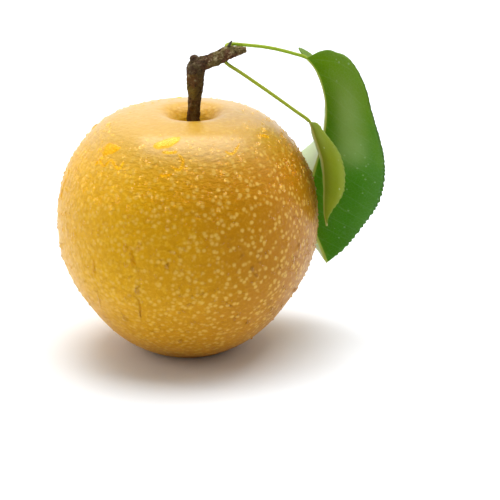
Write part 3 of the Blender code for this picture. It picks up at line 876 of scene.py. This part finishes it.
beads.visible_shadow = False


def trail(rows, rise):
    """Rings of a flat drop or a trail on the skin, from rows of bearing in degrees, height and
    half width in millimetres: round a ring the cosine goes across the way and the sine outwards,
    flattened below the skin, and the rise is a share of the half width."""
    rows = np.array(rows, float) * (np.pi / 180, 0.001, 0.001)
    spots, _, _, _ = skin_frame(rows[:, 0], station_at(rows[:, 1]))
    route = smooth_curve(np.column_stack([spots, rows]), 14 * len(rows))
    point, away, _, _ = skin_frame(route[:, 3], station_at(route[:, 4]))
    heading = unit(np.gradient(point, axis=0))
    across = unit(np.cross(away, heading))
    end = np.linspace(0, 1, len(route))
    fine = np.clip(np.minimum(end, 1 - end) * len(rows) * 1.6, 0, 1)
    half = route[:, 5] * np.sqrt(1 - (1 - fine) ** 2) + 0.00001
    half = half * (1 + 0.12 * ripple(point, 0.0022, 91))
    turn = np.arange(TRAIL_SIDES) / TRAIL_SIDES * 2 * np.pi
    lift = rise * np.clip(np.sin(turn), 0, 1)
    outwards = half[:, None] * lift[None] + np.where(np.sin(turn) > 1e-6, 0, -BEAD_SINK)[None]
    sideways = across[:, None] * (half[:, None] * np.cos(turn))[..., None]
    return point[:, None] + sideways + away[:, None] * outwards[..., None]


# Two flat drops and four trails on the shoulder, four trails low on the left, two right of the
# cavity, and the last four on the back and sides.
drops = (
    trail([(-149, 74.6, 1.9), (-143, 75.3, 2.6), (-138, 76.0, 1.9), (-133.5, 76.9, 0.5)], 0.26),
    trail([(-112, 78.6, 1.2), (-106, 79.1, 1.8), (-100, 80.0, 1.7), (-95.5, 80.8, 0.8)], 0.28),
    trail([(-145, 70.0, 0.6), (-143.8, 71.7, 0.5), (-137.8, 71.2, 0.45), (-135.1, 73.1, 0.5),
           (-127.6, 71.6, 0.5), (-126.2, 73.9, 0.6)], 0.55),
    trail([(-104.7, 77.4, 0.5), (-99.4, 77.3, 0.6), (-94.6, 77.6, 0.5)], 0.5),
    trail([(-94.2, 77.0, 0.5), (-91.2, 75.7, 0.5), (-91.5, 73.9, 0.55), (-93.6, 73.0, 0.6),
           (-97.8, 74.1, 0.4)], 0.55),
    trail([(-103.5, 71.4, 0.35), (-99.8, 71.3, 0.55), (-96.4, 71.8, 0.35)], 0.5),
    trail([(-131.6, 42.4, 0.45), (-132.0, 38.6, 0.6), (-132.2, 35.8, 1.0)], 0.3),
    trail([(-113.6, 49.2, 0.4), (-112.3, 46.4, 0.6), (-111.7, 42.6, 1.1)], 0.3),
    trail([(-111.3, 31.7, 0.35), (-110.6, 28.4, 0.4), (-112.7, 22.7, 0.3)], 0.25),
    trail([(-132.7, 31.0, 0.4), (-133.9, 26.7, 0.45), (-137.4, 22.1, 0.3)], 0.25),
    trail([(-29, 78.6, 0.7), (-24.5, 77.8, 0.9), (-20.5, 77.1, 0.6)], 0.4),
    trail([(-51.9, 78.1, 0.4), (-56.8, 76.9, 0.45), (-60.4, 76.2, 0.5), (-64.0, 77.3, 0.4)], 0.5),
    trail([(40, 52, 0.4), (41, 47, 0.5), (40, 42, 0.9)], 0.5),
    trail([(95, 70, 0.5), (99, 66, 0.5), (98, 61, 1.0)], 0.45),
    trail([(150, 60, 0.4), (151, 55, 0.5), (149, 50, 0.9)], 0.5),
    trail([(-170, 63, 0.4), (-171, 58, 0.5), (-169, 54, 0.9)], 0.5),
)
points, faces, used = [], [], 0
for rings in drops:
    points.append(closed_points(rings))
    faces.append(closed_faces(len(rings), TRAIL_SIDES) + used)
    used += len(points[-1])
runs = mesh_piece("water_runs", np.concatenate(points), np.concatenate(faces), deep)
runs.visible_shadow = False

# Set
#
# A plain white floor and sky, one large soft light over and behind the fruit, a smaller one from
# the left, and the camera, which looks a little down on the fruit.

FLOOR_HALF = 0.9

floor = Finish("white_floor")
floor.surface({"Base Color": (0.88, 0.91, 0.94), "Roughness": 0.9, "Specular IOR Level": 0.0})
corners = FLOOR_HALF * np.array([(-1, -1, 0), (1, -1, 0), (1, 1, 0), (-1, 1, 0)])
mesh = bpy.data.meshes.new("floor")
mesh.from_pydata(corners.tolist(), [], [(0, 1, 2, 3)])
mesh.materials.append(floor.material)
ground = bpy.data.objects.new("floor", mesh)
bpy.context.scene.collection.objects.link(ground)

# The sky is dimmer in front of the fruit than behind it, and the camera itself sees it white.
SKY_FRONT = 0.20
SKY_BACK = 1.10
world = bpy.data.worlds.new("studio")
world.use_nodes = True
sky = Finish("studio_sky")
sky.tree = world.node_tree
sky.tree.nodes.clear()
depth = sky.node("SeparateXYZ", {}, {"Vector": sky.node("TexCoord")}, "Y")
seen = sky.node("LightPath", output="Is Camera Ray")
backdrop = SKY_FRONT + sky.rise(depth, -0.30, 0.40) * (SKY_BACK - SKY_FRONT)
strength = backdrop + seen * (1.0 - backdrop)
light = sky.node("Background", {}, {"Color": (1.0, 1.0, 1.0), "Strength": strength})
sky.node("OutputWorld", {}, {"Surface": light})
bpy.context.scene.world = world
bpy.context.scene.view_settings.view_transform = "Standard"

AIM_ASIDE, AIM_HEIGHT = 0.02108, 0.03346
CAMERA_DISTANCE = 0.8
CAMERA_RISE = np.radians(20)
TARGET = Vector((FRUIT_AXIS[0] + AIM_ASIDE, FRUIT_AXIS[1], AIM_HEIGHT))


def soft_light(name, place, width, depth, power):
    """Rectangular area light that faces the fruit."""
    lamp = bpy.data.lights.new(name, "AREA")
    lamp.shape = "RECTANGLE"
    lamp.size = width
    lamp.size_y = depth
    lamp.energy = power
    light = bpy.data.objects.new(name, lamp)
    light.location = place
    light.rotation_euler = (TARGET - Vector(place)).to_track_quat("-Z", "Y").to_euler()
    bpy.context.scene.collection.objects.link(light)


soft_light("overhead", (0.05, 0.13, 0.92), 1.0, 0.8, 12.0)
soft_light("left", (-0.80, -0.25, 0.40), 0.4, 0.7, 1.3)

lens = bpy.data.cameras.new("camera")
lens.lens = 169.3
lens.sensor_width = 36.0
camera = bpy.data.objects.new("camera", lens)
towards = Vector((0.0, -np.cos(CAMERA_RISE), np.sin(CAMERA_RISE)))
camera.location = TARGET + CAMERA_DISTANCE * towards
camera.rotation_euler = (TARGET - camera.location).to_track_quat("-Z", "Y").to_euler()
bpy.context.scene.collection.objects.link(camera)
bpy.context.scene.camera = camera
